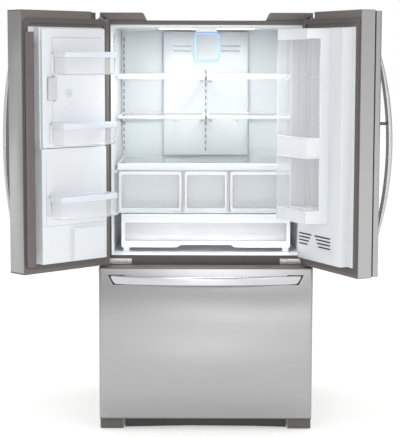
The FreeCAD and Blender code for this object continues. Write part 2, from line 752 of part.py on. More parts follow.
save("outer_case", outer_case())
save("front_frame", front_frame())
save("rear_panel", rear_panel())
save("base_frame", base_frame())
save("rear_rollers", *rear_rollers())
save("leveling_legs", *leveling_legs())
save("case_insulation", case_insulation())
save("fridge_liner", fridge_liner())
save("freezer_liner", freezer_liner())
save("rear_duct", *rear_duct())
save("shelf_tracks", *shelf_tracks())
save("mullion_guide", mullion_guide())
save("top_hinges", *pair(top_hinge()))
save("hinge_covers", *pair(hinge_cover()))
save("lower_hinges", *pair(lower_hinge()))
save("toe_grille", toe_grille())
save("foot_covers", *pair(foot_cover()))
save("compressor", compressor())
save("condenser", condenser())
save("water_valve", water_valve())
save("power_inlet", power_inlet())
save("evaporator_cover", evaporator_cover())

shelf_frames, shelf_panes = shelves()
save("shelf_frames", *shelf_frames)
save("shelf_glass", *shelf_panes, crisper_glass())
save("crisper_frame", crisper_frame())
save("crisper_left", crisper(-381, -106))
save("crisper_center", crisper(-94, 94))
save("crisper_right", crisper(106, 381))
save("pantry_drawer", pantry_drawer())

save("drawer_skin", drawer_skin())
save("drawer_back", drawer_back())
save("drawer_gasket", drawer_gasket())
save("drawer_handle", drawer_handle())
save("drawer_basket", drawer_basket())
save("drawer_rails", *drawer_rails())
save("mid_rails", *mid_rails())
save("slide_rails", *slide_rails())
save("freezer_tray", freezer_tray())

save("left_door_skin", on_left(left_door_skin()))
save("left_door_frame", on_left(left_door_frame()))
save("left_door_liner", on_left(left_door_liner()))
save("left_door_gasket", on_left(main_gasket()))
save("left_door_handle", on_left(door_handle()))
save("mullion", on_left(mullion()))
save("ice_door", on_left(ice_door()))
save("ice_latch", on_left(ice_latch()))
save("left_upper_bin", on_left(door_bin(116, 388, 104, 1515, 1606)))
save("left_middle_bin", on_left(door_bin(105, 390, 104, 1231, 1322)))
save("left_lower_bin", on_left(door_bin(95, 390, 104, 935, 1029)))
save("dispenser", on_left(dispenser()))
save("dispenser_paddle", on_left(dispenser_paddle()))

save("right_door_frame", on_right(right_door_frame()))
save("right_door_liner", on_right(right_door_liner()))
save("right_door_gasket", *[on_right(s) for s in right_gaskets()])
save("right_tower_frame", on_right(tower_frame()))
save("right_tower_panels", *[on_right(s) for s in tower_panels()])
save("outer_door_skin", on_right(outer_door_skin()))
save("outer_door_back", on_right(outer_door_back()))
save("outer_handle", on_right(outer_handle()))
save("release_button", on_right(release_button()))
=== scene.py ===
import json
import math

import bmesh
import bpy
from mathutils import Matrix, Vector


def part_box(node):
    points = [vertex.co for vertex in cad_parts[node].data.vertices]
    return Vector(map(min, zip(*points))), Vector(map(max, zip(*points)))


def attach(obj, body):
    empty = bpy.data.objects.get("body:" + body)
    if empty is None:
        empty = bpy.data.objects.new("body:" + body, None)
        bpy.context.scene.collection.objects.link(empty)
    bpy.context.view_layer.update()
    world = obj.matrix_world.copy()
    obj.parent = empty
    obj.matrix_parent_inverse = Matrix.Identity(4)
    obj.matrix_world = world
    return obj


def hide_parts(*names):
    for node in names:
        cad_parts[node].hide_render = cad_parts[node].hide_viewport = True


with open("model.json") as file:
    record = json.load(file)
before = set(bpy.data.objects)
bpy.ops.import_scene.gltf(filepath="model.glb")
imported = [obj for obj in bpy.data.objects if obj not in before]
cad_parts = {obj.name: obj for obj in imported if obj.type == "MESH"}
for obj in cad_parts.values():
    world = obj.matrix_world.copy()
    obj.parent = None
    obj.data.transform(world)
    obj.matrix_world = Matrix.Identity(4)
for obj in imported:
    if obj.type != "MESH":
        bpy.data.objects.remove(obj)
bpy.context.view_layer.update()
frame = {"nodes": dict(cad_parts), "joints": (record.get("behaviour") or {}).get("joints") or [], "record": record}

# French door refrigerator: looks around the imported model. Piece code is in millimetres in the
# same frame as part.py; door pieces are built in the closed right-hand position and turned open.
MM = 0.001
CEILING = 1712.0  # underside of the fresh-food liner's top
LINER_FACE = 40.0  # inner face of the left door's liner
DOOR_FRONT = -108.0  # outer face of the doors and the drawer
REAR_FACE = 746.0  # outer face of the back panel
NODES = frame["nodes"]
JOINT = {j["name"]: j for j in frame["joints"]}


def mm_box(node):
    """Lowest and highest corners of a CAD node, in millimetres."""
    low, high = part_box(node)
    return [c / MM for c in low], [c / MM for c in high]


# ---- where the doors stand ----
def turned(mirror, joint, sense):
    """A function that takes a closed right-hand point to an open door."""
    px, py, _ = [c / MM for c in JOINT[joint]["pos_m"]]
    angle = math.radians(-JOINT[joint]["range_deg"][0]) * sense
    c, s = math.cos(angle), math.sin(angle)

    def place(p):
        x, y = mirror * p[0] - px, p[1] - py
        return (px + c * x - s * y, py + s * x + c * y, p[2])

    return place


left = turned(-1, "left_door_swing", -1)
right = turned(1, "right_door_swing", 1)


def here(p):
    """Leaves a cabinet or drawer point where it is."""
    return p


# ---- materials ----
def srgb(r, g, b):
    """A linear colour with alpha, from 0 to 255 values."""
    def lin(v):
        v /= 255
        return v / 12.92 if v <= 0.04045 else ((v + 0.055) / 1.055) ** 2.4

    return (lin(r), lin(g), lin(b), 1)


class Graph:
    """A small helper for node materials."""

    def __init__(self, name):
        self.material = bpy.data.materials.new(name)
        self.material.use_nodes = True
        self.tree = self.material.node_tree
        self.tree.nodes.clear()
        self.out = self.tree.nodes.new("ShaderNodeOutputMaterial")
        self.bsdf = self.tree.nodes.new("ShaderNodeBsdfPrincipled")
        self.link(self.bsdf.outputs[0], self.out.inputs[0])
        self.coord = self.tree.nodes.new("ShaderNodeTexCoord").outputs["Object"]

    def link(self, a, b):
        self.tree.links.new(a, b)

    def set(self, **values):
        for key, value in values.items():
            self.bsdf.inputs[key.replace("_", " ")].default_value = value

    def noise(self, scale, stretch=(1, 1, 1), detail=3.0, rough=0.5):
        mapping = self.tree.nodes.new("ShaderNodeMapping")
        mapping.inputs["Scale"].default_value = stretch
        self.link(self.coord, mapping.inputs[0])
        node = self.tree.nodes.new("ShaderNodeTexNoise")
        node.inputs["Scale"].default_value = scale
        node.inputs["Detail"].default_value = detail
        node.inputs["Roughness"].default_value = rough
        self.link(mapping.outputs[0], node.inputs["Vector"])
        return node.outputs[0]

    def span(self, source, low, high, start=0.3, end=0.7):
        node = self.tree.nodes.new("ShaderNodeMapRange")
        node.inputs["From Min"].default_value = start
        node.inputs["From Max"].default_value = end
        node.inputs["To Min"].default_value = low
        node.inputs["To Max"].default_value = high
        self.link(source, node.inputs[0])
        return node.outputs[0]

    def mix(self, factor, a, b):
        node = self.tree.nodes.new("ShaderNodeMix")
        node.data_type = "RGBA"
        self.link(factor, node.inputs[0])
        for socket, colour in ((node.inputs[6], a), (node.inputs[7], b)):
            if hasattr(colour, "node"):
                self.link(colour, socket)
            else:
                socket.default_value = colour
        return node.outputs[2]

    def bump(self, source, strength, distance):
        node = self.tree.nodes.new("ShaderNodeBump")
        node.inputs["Strength"].default_value = strength
        node.inputs["Distance"].default_value = distance
        self.link(source, node.inputs["Height"])
        self.link(node.outputs[0], self.bsdf.inputs["Normal"])


def shade(colour, k):
    """The colour made k times as bright."""
    return tuple(min(1, c * k) for c in colour[:3]) + (1,)


def moulded(name, rgb, rough, grain=700, depth=0.00006, drift=0.05, coat=0.0, metal=0.0):
    """Moulded plastic or paint: slow tone drift, fine grain, and handling marks in the gloss."""
    g = Graph(name)
    base = srgb(*rgb)
    tone = g.mix(g.noise(3.1, detail=4), shade(base, 1 - drift), shade(base, 1 + drift))
    fleck = g.noise(grain * 0.5, detail=2)
    g.link(g.mix(g.span(fleck, 0, 0.25, 0.45, 0.75), tone, shade(base, 0.86)), g.bsdf.inputs["Base Color"])
    g.link(g.span(g.noise(9, detail=5), rough * 0.93, rough * 1.08), g.bsdf.inputs["Roughness"])
    g.bump(g.noise(grain, detail=2), 0.35, depth)
    g.set(Metallic=metal, Coat_Weight=coat, Coat_Roughness=0.12)
    return g.material


def brushed(name, rgb, rough, strokes, contrast=0.06, depth=0.00002, aniso=0.55, smudge=0.05):
    """Brushed steel: hair strokes along the grain and faint wiping marks."""
    g = Graph(name)
    base = srgb(*rgb)
    hair = g.noise(1, strokes, detail=3, rough=0.65)
    broad = g.noise(1, tuple(s * 0.13 for s in strokes), detail=2)
    tone = g.mix(g.span(hair, 0, 1, 0.25, 0.75), shade(base, 1 - contrast), shade(base, 1 + contrast))
    g.link(g.mix(g.span(broad, 0, 0.35), tone, shade(base, 0.93)), g.bsdf.inputs["Base Color"])
    cloud = g.noise(4.5, detail=5)
    g.link(g.span(cloud, rough - smudge, rough + smudge), g.bsdf.inputs["Roughness"])
    g.bump(hair, 0.15, depth)
    g.set(Metallic=1.0, Anisotropic=aniso)
    return g.material


def clear(name, rgb, rough, ior=1.2, haze=0.02, body=1.0):
    """Clear plastic or glass with faint moulding haze."""
    g = Graph(name)
    base = srgb(*rgb)
    g.link(g.mix(g.noise(6, detail=4), shade(base, 0.97), base), g.bsdf.inputs["Base Color"])
    g.link(g.span(g.noise(25, detail=4), rough, rough + haze), g.bsdf.inputs["Roughness"])
    g.bump(g.noise(18, detail=2), 0.12, 0.0004)
    g.set(Transmission_Weight=body, IOR=ior)
    path = g.tree.nodes.new("ShaderNodeLightPath")
    through = g.tree.nodes.new("ShaderNodeBsdfTransparent")
    through.inputs[0].default_value = shade(base, 0.96)
    blend = g.tree.nodes.new("ShaderNodeMixShader")
    g.link(path.outputs["Is Shadow Ray"], blend.inputs[0])
    g.link(g.bsdf.outputs[0], blend.inputs[1])
    g.link(through.outputs[0], blend.inputs[2])
    g.link(blend.outputs[0], g.out.inputs[0])
    return g.material


def glowing(name, rgb, power, pitch=140.0):
    """A lit diffuser with a fine prismatic pattern."""
    g = Graph(name)
    base = srgb(*rgb)
    cells = g.noise(pitch, detail=1)
    g.link(g.mix(g.span(cells, 0, 1), shade(base, 0.93), base), g.bsdf.inputs["Base Color"])
    g.link(g.mix(g.span(cells, 0, 1), shade(base, 0.9), base), g.bsdf.inputs["Emission Color"])
    g.link(g.span(cells, 0.25, 0.4), g.bsdf.inputs["Roughness"])
    g.bump(cells, 0.3, 0.0005)
    g.set(Emission_Strength=power)
    return g.material


ACROSS = (3.0, 3.0, 900.0)  # grain that runs round a panel, level
UPRIGHT = (700.0, 700.0, 4.0)  # grain that runs up and down a handle
LEVEL = (4.0, 700.0, 700.0)  # grain along a level bar

FINISH = {
    "case_paint": moulded("case_paint", (92, 90, 90), 0.45, grain=420, depth=0.00012, drift=0.04),
    "frame_grey": moulded("frame_grey", (90, 86, 84), 0.42, grain=600),
    "galvanised": moulded("galvanised", (158, 160, 163), 0.38, grain=90, depth=0.00003, drift=0.12,
                          metal=0.85),
    "roller_plastic": moulded("roller_plastic", (58, 58, 60), 0.5),
    "bare_steel": brushed("bare_steel", (150, 150, 152), 0.34, (160, 160, 160)),
    "bright_steel": brushed("bright_steel", (196, 194, 192), 0.24, (260, 60, 260)),
    "insulation": moulded("insulation", (214, 196, 150), 0.9, grain=160, depth=0.0006, drift=0.1),
    "liner_white": moulded("liner_white", (224, 228, 231), 0.3, grain=500, depth=0.00003, drift=0.012,
                           coat=0.15),
    "white_plastic": moulded("white_plastic", (228, 231, 234), 0.32, grain=500, depth=0.00004, drift=0.012,
                             coat=0.1),
    "white_metal": moulded("white_metal", (226, 229, 233), 0.35, grain=350, drift=0.02),
    "trim_grey": moulded("trim_grey", (110, 104, 100), 0.5, grain=520, depth=0.0001),
    "base_grey": moulded("base_grey", (92, 91, 91), 0.48, grain=450, depth=0.0001),
    "black_metal": moulded("black_metal", (34, 34, 36), 0.4, grain=350, depth=0.0001),
    "valve_brass": brushed("valve_brass", (196, 160, 92), 0.3, (120, 120, 120)),
    "black_plastic": moulded("black_plastic", (30, 30, 32), 0.5),
    "shelf_trim": moulded("shelf_trim", (232, 235, 239), 0.28, grain=500, depth=0.00003, drift=0.012,
                          coat=0.2),
    "shelf_glass": clear("shelf_glass", (251, 253, 252), 0.02, ior=1.25),
    "clear_plastic": clear("clear_plastic", (252, 253, 254), 0.03, ior=1.12, body=0.82),
    "stainless": brushed("stainless", (168, 168, 169), 0.28, ACROSS, smudge=0.006),
    "gasket": moulded("gasket", (96, 91, 90), 0.65, grain=300, depth=0.0002),
    "handle_steel": brushed("handle_steel", (190, 190, 192), 0.24, UPRIGHT, smudge=0.006),
    "mullion_grey": moulded("mullion_grey", (105, 98, 97), 0.48, grain=500, depth=0.0001),
    "latch_grey": moulded("latch_grey", (206, 210, 216), 0.3, grain=500, drift=0.015),
    "dispenser_black": moulded("dispenser_black", (26, 27, 30), 0.16, grain=700, depth=0.00002, coat=0.5),
    "handle_level": brushed("handle_level", (198, 198, 200), 0.24, LEVEL, smudge=0.006),
    "frosted": moulded("frosted", (226, 231, 238), 0.4, grain=400, drift=0.015),
    "lamp": glowing("lamp", (255, 252, 244), 4.0),
    "filter_glow": glowing("filter_glow", (150, 200, 245), 0.8),
    "print_grey": moulded("print_grey", (150, 165, 190), 0.5),
    # painted shade: a dark colour for sheets put where there is only shade, behind the vents and round the drawer
    # handle's feet
    "painted_shade_dark": moulded("painted_shade_dark", (38, 38, 52), 0.7),
    "slot_shade": moulded("slot_shade", (150, 153, 160), 0.7),
    "panel_grey": moulded("panel_grey", (196, 198, 201), 0.5, grain=300),
    "rim_white": moulded("rim_white", (222, 228, 236), 0.3, grain=400, drift=0.01),
    # painted shade: the set-back toe grille made darker than the foot covers
    "toe_shade": moulded("toe_shade", (56, 56, 56), 0.5, grain=450, depth=0.0001),
    # painted shade: the colour of the sheets inside the wall ports' openings
    "port_shade": moulded("port_shade", (150, 158, 172), 0.6, grain=300),
    "print_blue": moulded("print_blue", (150, 172, 205), 0.5),
}

for cad_node in NODES.values():
    for index, material in enumerate(cad_node.data.materials):
        cad_node.data.materials[index] = FINISH[material.name.split(".")[0]]


# ---- mesh helpers ----
def loft(bm, loops, closed=False):
    """Skins a list of point loops of equal length."""
    rows = [[bm.verts.new(p) for p in loop] for loop in loops]
    count = len(rows[0])
    pairs = list(zip(rows, rows[1:])) + ([(rows[-1], rows[0])] if closed else [])
    for a, b in pairs:
        for i in range(count):
            j = (i + 1) % count
            bm.faces.new((a[i], a[j], b[j], b[i]))
    if not closed:
        bm.faces.new(rows[0])
        bm.faces.new(list(reversed(rows[-1])))


def rounded(x0, x1, y0, y1, r, steps=5):
    """Outline of a rectangle with rounded corners."""
    points = []
    corners = ((x1 - r, y1 - r, 0), (x0 + r, y1 - r, 90), (x0 + r, y0 + r, 180), (x1 - r, y0 + r, 270))
    for cx, cy, start in corners:
        for i in range(steps + 1):
            a = math.radians(start + 90 * i / steps)
            points.append((cx + r * math.cos(a), cy + r * math.sin(a)))
    return points


def circle(cx, cy, r, sides, flat=1.0):
    """Outline of a circle; flat squeezes it into an ellipse."""
    turns = [math.radians(360 / sides * k) for k in range(sides)]
    return [(cx + r * math.cos(a), cy + flat * r * math.sin(a)) for a in turns]


# How an outline (u, v) lies at the distance w along the third direction.
def facing(u, v, w):
    return (u, w, v)


def level(u, v, w):
    return (u, v, w)


def across(u, v, w):
    return (w, u, v)


def slab(bm, sides, r, levels, lie, fade=0.0, steps=5, closed=False):
    """Lofts a rounded rectangle through (inset, distance) levels; its corners shrink by fade."""
    a, b, c, d = sides
    loft(bm, [
        [lie(u, v, w) for u, v in rounded(a + i, b - i, c + i, d - i, r - i * fade, steps)]
        for i, w in levels
    ], closed=closed)


def bar(bm, sides, r, start, end, lie, steps=5):
    """A straight slab from start to end."""
    slab(bm, sides, r, ((0, start), (0, end)), lie, steps=steps)


def ring(bm, outer, inner, lift):
    """A flat frame between two outlines; lift turns (u, v, w) into a point, w running 0 to 1."""
    loft(bm, [
        [lift(u, v, 0) for u, v in outer],
        [lift(u, v, 1) for u, v in outer],
        [lift(u, v, 1) for u, v in inner],
        [lift(u, v, 0) for u, v in inner],
    ], closed=True)


def pipe(bm, points, radius, sides=10):
    """A round tube through points."""
    path = [Vector(p) for p in points]
    count = len(path)
    loops = []
    for i, p in enumerate(path):
        t = path[min(i + 1, count - 1)] - path[max(i - 1, 0)]
        t.normalize()
        side = t.cross(Vector((0, 0, 1)) if abs(t.z) < 0.9 else Vector((0, 1, 0))).normalized()
        up = side.cross(t)
        loops.append([
            p + (side * math.cos(a) + up * math.sin(a)) * radius
            for a in (2 * math.pi * k / sides for k in range(sides))
        ])
    loft(bm, loops)


def piece(name, bm, finish, body, place=here, bevel=0.0, segments=3, smooth=True, replaces=()):
    """Makes the object from millimetre geometry, rounds its edges and rides it on its body."""
    for v in bm.verts:
        v.co = Vector(place(v.co)) * MM
    bmesh.ops.recalc_face_normals(bm, faces=bm.faces[:])
    mesh = bpy.data.meshes.new(name)
    bm.to_mesh(mesh)
    bm.free()
    mesh.polygons.foreach_set("use_smooth", [smooth] * len(mesh.polygons))
    obj = bpy.data.objects.new(name, mesh)
    bpy.context.scene.collection.objects.link(obj)
    mesh.materials.append(FINISH[finish])
    if bevel:
        modifier = obj.modifiers.new("edges", "BEVEL")
        modifier.width = bevel * MM
        modifier.segments = segments
        modifier.limit_method = "ANGLE"
        modifier.angle_limit = math.radians(35)
        modifier.harden_normals = True
    elif smooth:
        modifier = obj.modifiers.new("normals", "WEIGHTED_NORMAL")
    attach(obj, body)
    if replaces:
        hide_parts(*replaces)


# ---- CAD parts with their sharp edges eased ----
SOFTENED = {  # node: edge radius
    "fridge_liner": 5.0, "freezer_liner": 5.0, "rear_duct": 2.0, "mullion_guide": 2.0,
    "front_frame": 0.6, "hinge_covers": 2.0, "toe_grille": 1.2, "foot_covers": 1.2, "shelf_frames": 1.2,
    "crisper_frame": 1.4, "evaporator_cover": 2.0, "drawer_back": 1.5, "drawer_skin": 0.9,
    "drawer_basket": 1.2, "freezer_tray": 1.0, "left_door_frame": 1.2, "left_door_liner": 1.2,
    "left_door_skin": 0.9, "mullion": 0.8, "ice_door": 1.5, "ice_latch": 1.2, "dispenser": 1.0,
    "right_door_frame": 1.2, "right_door_liner": 1.2, "right_tower_frame": 1.2, "outer_door_back": 1.2,
    "outer_door_skin": 0.9, "release_button": 1.5,
}
# toe_shade paints the shade of the set-back toe grille into its colour; the release button takes frame_grey.
FINISH_SWAPS = {"toe_grille": "toe_shade", "release_button": "frame_grey"}
BODY_OF = {n: b for b, ns in frame["record"]["behaviour"]["bodies"].items() for n in ns}
SLOT_OF = {n: NODES[n].data.materials[0].name.split(".")[0] for n in NODES}


def soften(node, radius):
    """Stands for a CAD node with a copy of it whose edges are eased."""
    bm = bmesh.new()
    bm.from_mesh(NODES[node].data)
    bmesh.ops.remove_doubles(bm, verts=bm.verts[:], dist=0.00001)
    bmesh.ops.dissolve_limit(bm, angle_limit=math.radians(1), verts=bm.verts[:], edges=bm.edges[:])
    for v in bm.verts:
        v.co /= MM
    slot = SLOT_OF[node]
    finish = FINISH_SWAPS.get(node, slot)
    piece(node + "_eased", bm, finish, BODY_OF[node], bevel=radius, segments=2, replaces=(node,))


# ---- cabinet details ----
def ceiling_lamp():
    """Lit cover, its bezel, and the light that it gives."""
    bm = bmesh.new()
    x, y0, y1 = 205, 50, 150
    drops = ((0, 0.2), (0, 3.0), (4, 6.0), (10, 7.2))
    slab(bm, (-x, x, y0, y1), 14, [(i, CEILING - d) for i, d in drops], level, fade=0.6)
    piece("ceiling_lamp", bm, "lamp", "cabinet")
    bm = bmesh.new()
    ring(bm, rounded(-x - 8, x + 8, y0 - 8, y1 + 8, 18), rounded(-x - 0.5, x + 0.5, y0 - 0.5, y1 + 0.5, 14),
         lambda u, v, w: (u, v, CEILING - 0.1 - 3.4 * w))
    piece("lamp_bezel", bm, "white_plastic", "cabinet", bevel=1.0)
    lamp = bpy.data.lights.new("lamp_light", "AREA")
    lamp.shape, lamp.size, lamp.size_y, lamp.energy = "RECTANGLE", 0.36, 0.08, 5.0
    obj = bpy.data.objects.new("lamp_light", lamp)
    obj.location = (0, 0.1, 1.695)
    bpy.context.scene.collection.objects.link(obj)


def filter_cover_details():
    """Lit ring round the air filter's cover and its louvres."""
    x0, x1, z0, z1, y = -52, 62, 1572, 1699, 604
    bm = bmesh.new()
    ring(bm, rounded(x0 - 1, x1 + 1, z0 - 1, z1 + 1, 17), rounded(x0 + 5, x1 - 5, z0 + 5, z1 - 5, 12),
         lambda u, v, w: (u, y - 0.2 - 2.4 * (1 - w), v))
    piece("filter_ring", bm, "filter_glow", "cabinet", bevel=0.9)
    bm = bmesh.new()
    for i in range(5):
        z = z0 + 34 + 13 * i
        bar(bm, (x0 + 22, x1 - 22, y - 2.2, y + 0.5), 1.2, z, z + 4, level, steps=2)
    piece("filter_louvres", bm, "frosted", "cabinet", bevel=0.6, segments=2)


def hinge_hardware():
    """Stamped pads, hex heads and a rolled knuckle on the two lower hinges."""
    (_, _, low), _ = mm_box("lower_hinges")
    bm = bmesh.new()
    for side in (-1, 1):
        for x0, x1, z0, z1 in ((324, 352, 705.5, 724), (358, 386, 705.5, 719), (392, 440, 705.5, 722)):
            slab(bm, (x0, x1, z0, z1), 4, ((0, -3.8), (0, -4.8), (1.2, -6.0)),
                 lambda u, v, w: (side * u, w, v))
        for x in (338, 372, 406):
            loft(bm, [[facing(u, v, y) for u, v in circle(side * x, low + 10.5, r, 6)]
                      for r, y in ((4.6, -6.4), (4.6, -7.2), (3.4, -7.7), (1.4, -7.6))])
        pipe(bm, [(side * 330, -5.4, 704.4), (side * 440, -5.4, 704.4)], 1.6)
    piece("lower_hinge_pads", bm, "bright_steel", "cabinet", bevel=0.25, segments=2)


def wall_ports():
    """Cold-air ports of the ice compartment in the left wall: a moulded frame with a slatted grille, and a sheet
    in painted shade inside each frame.
    """
    front_x, lean, front_y, depth = -404, 10, 2, 648

    def on_wall(u, v, w):
        return (front_x + lean * (u - front_y) / depth + 0.2 + w, u, v)

    bm, dark = bmesh.new(), bmesh.new()
    for u0, u1, v0, v1, r in ((150, 236, 1588, 1684, 18), (166, 232, 1392, 1492, 12)):
        ring(bm, rounded(u0, u1, v0, v1, r), rounded(u0 + 7, u1 - 7, v0 + 7, v1 - 7, r - 5),
             lambda u, v, w: on_wall(u, v, 3.5 * w))
        # a flat sheet in painted shade fills each opening
        bar(dark, (u0 + 6, u1 - 6, v0 + 6, v1 - 6), r - 5, 0.1, 0.8, on_wall)
    for i in range(6):
        u = 176 + 9 * i
        bar(bm, (u, u + 3, 1398, 1486), 1.2, 0.3, 3.0, on_wall, steps=2)
    for i in range(4):
        v = 1604 + 18 * i
        bar(bm, (156, 230, v, v + 5), 1.5, 0.3, 3.0, on_wall, steps=2)
    piece("wall_port_frames", bm, "frosted", "cabinet", bevel=0.7, segments=2)
    piece("wall_port_shade_sheets", dark, "port_shade", "cabinet", bevel=0.2, segments=1)


def track_slots():
    """The shaded slots of the three shelf uprights."""
    lowest, pitch = 1150, 30
    bm = bmesh.new()
    for x, y, top in ((-384, 642, 1690), (0, 614, 1560), (384, 642, 1690)):
        for z in range(lowest, top - pitch + 1, pitch):
            bar(bm, (x - 2.9, x + 2.9, y + 3.6, y + 4.9), 0.5, z + 0.3, z + 17.7, level, steps=1)
    piece("track_slot_shades", bm, "slot_shade", "cabinet")


def cover_trim():
    """White band along the front of the crisper cover."""
    bm = bmesh.new()
    bar(bm, (148.6, 153, 1096, 1123.4), 2.0, -386.6, 386.6, across)
    piece("crisper_cover_trim", bm, "white_plastic", "cabinet", bevel=0.6)


def rear_details():
    """Pressed stiffening ribs and screws on the back panel."""
    y = REAR_FACE
    bm = bmesh.new()
    for x0, x1 in ((-380, -210), (-170, 0), (40, 210), (250, 380)):
        for z0, z1 in ((330, 760), (820, 1240), (1300, 1680)):
            rise = [(i, y - 0.5 + d) for i, d in ((0, 0), (4, 1.6), (9, 2.6))]
            slab(bm, (x0, x1, z0, z1), 30, rise, facing, fade=1)
    piece("rear_panel_ribs", bm, "galvanised", "cabinet", bevel=0.4, segments=2)
    bm = bmesh.new()
    spots = [(x, z) for x in (-440, 440) for z in range(60, 1740, 186)]
    spots += [(x, z) for z in (45, 300, 1726) for x in range(-360, 361, 144)]
    for x, z in spots:
        loft(bm, [[facing(u, v, y - 0.3 + d) for u, v in circle(x, z, r, 8)]
                  for r, d in ((5.5, 0), (5.5, 1.0), (3.8, 2.6), (1.6, 2.9), (1.4, 1.6))])
    piece("rear_panel_screws", bm, "bare_steel", "cabinet", bevel=0.2, segments=1)


# ---- drawers of the fresh-food compartment ----
def vessel(bm, x0, x1, y0, y1, z0, z1, wall, corner, draft):
    """An open tub with rounded corners, a rounded foot and walls that lean outwards."""
    levels = ((draft + corner * 0.5, 0), (draft + 2, 2.5), (draft, 8), (0, z1 - z0))
    outer = [[(u, v, z0 + h) for u, v in rounded(x0 + i, x1 - i, y0 + i, y1 - i, corner)] for i, h in levels]
    inner = [
        [(u, v, z0 + max(h, wall) if h < z1 - z0 else z1) for u, v in
         rounded(x0 + i + wall, x1 - i - wall, y0 + i + wall, y1 - i - wall, max(corner - wall, 2))]
        for i, h in reversed(levels[1:])
    ]
    loft(bm, outer + inner)


def crisper(body):
    """Clear crisper with a framed window in its white front."""
    (x0, y0, z0), (x1, y1, z1) = mm_box(body)
    bm = bmesh.new()
    vessel(bm, x0 + 4, x1 - 4, y0 + 2.5, y1, z0, z1 - 10, 2.4, 16, 5)
    slab(bm, (x0, x1, z0, z1), 7, ((0.6, y0 + 0.6), (0, y0 + 1.4), (0, y0 + 4.2)), facing)
    piece(body + "_tub", bm, "clear_plastic", body, bevel=0.6, segments=2, replaces=(body,))
    bm = bmesh.new()
    side, low, high = 11, 13, 15
    ring(bm, rounded(x0 + 0.4, x1 - 0.4, z0 + 0.4, z1 - 0.4, 7),
         rounded(x0 + side, x1 - side, z0 + low, z1 - high, 9),
         lambda u, v, w: (u, y0 + 0.5 - 3.2 * w, v))
    ring(bm, rounded(x0 + side - 4, x1 - side + 4, z0 + low - 4, z1 - high + 4, 11),
         rounded(x0 + side - 0.5, x1 - side + 0.5, z0 + low - 0.5, z1 - high + 0.5, 9),
         lambda u, v, w: (u, y0 - 2.4 - 1.4 * w, v))
    piece(body + "_front", bm, "white_plastic", body, bevel=0.9, segments=2)


def pantry():
    """Full-width pantry drawer: clear tub, white bands and a grip under the front."""
    (x0, y0, z0), (x1, y1, z1) = mm_box("pantry_drawer")
    bm = bmesh.new()
    vessel(bm, x0 + 3, x1 - 3, y0 + 6, y1, z0, z1 - 15, 2.4, 18, 5)
    bar(bm, (x0 + 13, x1 - 13, z0 + 14, z1 - 36), 5, y0 + 3, y0 + 6.2, facing)
    piece("pantry_tub", bm, "clear_plastic", "pantry_drawer", bevel=0.6, segments=2,
          replaces=("pantry_drawer",))
    bm = bmesh.new()
    foot, grip, slope = z0 - 12, 125, 112  # half widths of the grip's notch, at its foot and its top
    outer = [(x1, z1), (x0, z1), (x0, foot), (-grip, foot), (-slope, foot + 11), (slope, foot + 11),
             (grip, foot), (x1, foot)]
    wx, low, high = x1 - 16, z0 + 16, z1 - 38
    inner = [(wx, high), (-wx, high), (-wx, low), (-grip, low), (-slope, low), (slope, low),
             (grip, low), (wx, low)]
    ring(bm, outer, inner, lambda u, v, w: (u, y0 + 9.5 - 9.8 * w, v))
    piece("pantry_front", bm, "white_plastic", "pantry_drawer", bevel=1.6, segments=3)
    bm = bmesh.new()
    bar(bm, (y0 - 2.4, y0 + 0.4, z1 - 12, z1 - 1.5), 1.3, x0 + 4, x1 - 4, across)
    piece("pantry_bead", bm, "frosted", "pantry_drawer", bevel=0.6, segments=2)


# ---- door bins ----
def bowl_outline(x0, x1, y0, depth, inset, corner=12.0):
    """Outline of a bin: straight back, rounded back corners and a bowed front."""
    left_x, right_x = x0 + inset, x1 - inset
    back, edge, nose = y0 + inset, y0 + depth * 0.78 - inset, y0 + depth - inset
    r = max(corner - inset, 2)
    points = []
    for cx, start in ((left_x + r, 180), (right_x - r, 270)):
        for i in range(7):
            a = math.radians(start + 15 * i)
            points.append((cx + r * math.cos(a), back + r + r * math.sin(a)))
    for i in range(25):
        t = i / 24
        s = abs(2 * t - 1)
        x = right_x + (left_x - right_x) * t
        fall = (nose - edge) * s ** 2.0 + 5.0 * s ** 14
        points.append((x, nose - fall))
    return points


BINS = {  # body: x0, x1, z0, z1 in the closed door
    "left_upper_bin": (116, 388, 1515, 1606),
    "left_middle_bin": (105, 390, 1231, 1322),
    "left_lower_bin": (95, 390, 935, 1029),
}


def door_bin(body, place):
    """Clear bin with a thick frosted rim."""
    x0, x1, z0, z1 = BINS[body]
    y0, depth, wall, z_band = LINER_FACE + 0.4, 104, 2.4, 22

    def loop(inset, z):
        return [(x, y, z) for x, y in bowl_outline(x0, x1, y0, depth, inset)]

    bm = bmesh.new()
    section = ((9, z0), (5.5, z0 + 1.5), (4, z0 + 5), (0.4, z1 - 2), (0.4 + wall, z1 - 2),
               (4 + wall, z0 + 6), (8, z0 + 3))
    loft(bm, [loop(i, z) for i, z in section])
    piece(body + "_shell", bm, "clear_plastic", body, place, replaces=(body,))
    bm = bmesh.new()
    profile = ((0.3, z1 - z_band), (-1.0, z1 - z_band + 1), (-1.4, z1 - 3), (-0.6, z1), (2.4, z1 + 0.2),
               (3.6, z1 - 2), (3.2, z1 - z_band + 1), (2.0, z1 - z_band))
    loft(bm, [loop(i, z) for i, z in profile], closed=True)
    for v in bm.verts:
        v.co.y = max(v.co.y, LINER_FACE + 0.15)
    piece(body + "_rim", bm, "rim_white", body, place)


def bin_lugs():
    """Moulded lugs on the liner that carry the three bins."""
    y = LINER_FACE
    bm = bmesh.new()
    for x0, _, _, z1 in BINS.values():
        levels = ((1.2, z1 - 84), (0, z1 - 82), (0, z1 - 10), (1.5, z1 - 7))
        loft(bm, [[(u, v, z) for u, v in rounded(x0 - 9 + i, x0 - 2.2 - i, y - 0.5, y + 13 - i, 2.5)]
                  for i, z in levels])
    piece("bin_lugs", bm, "white_plastic", "left_door", left, bevel=0.6, segments=2)


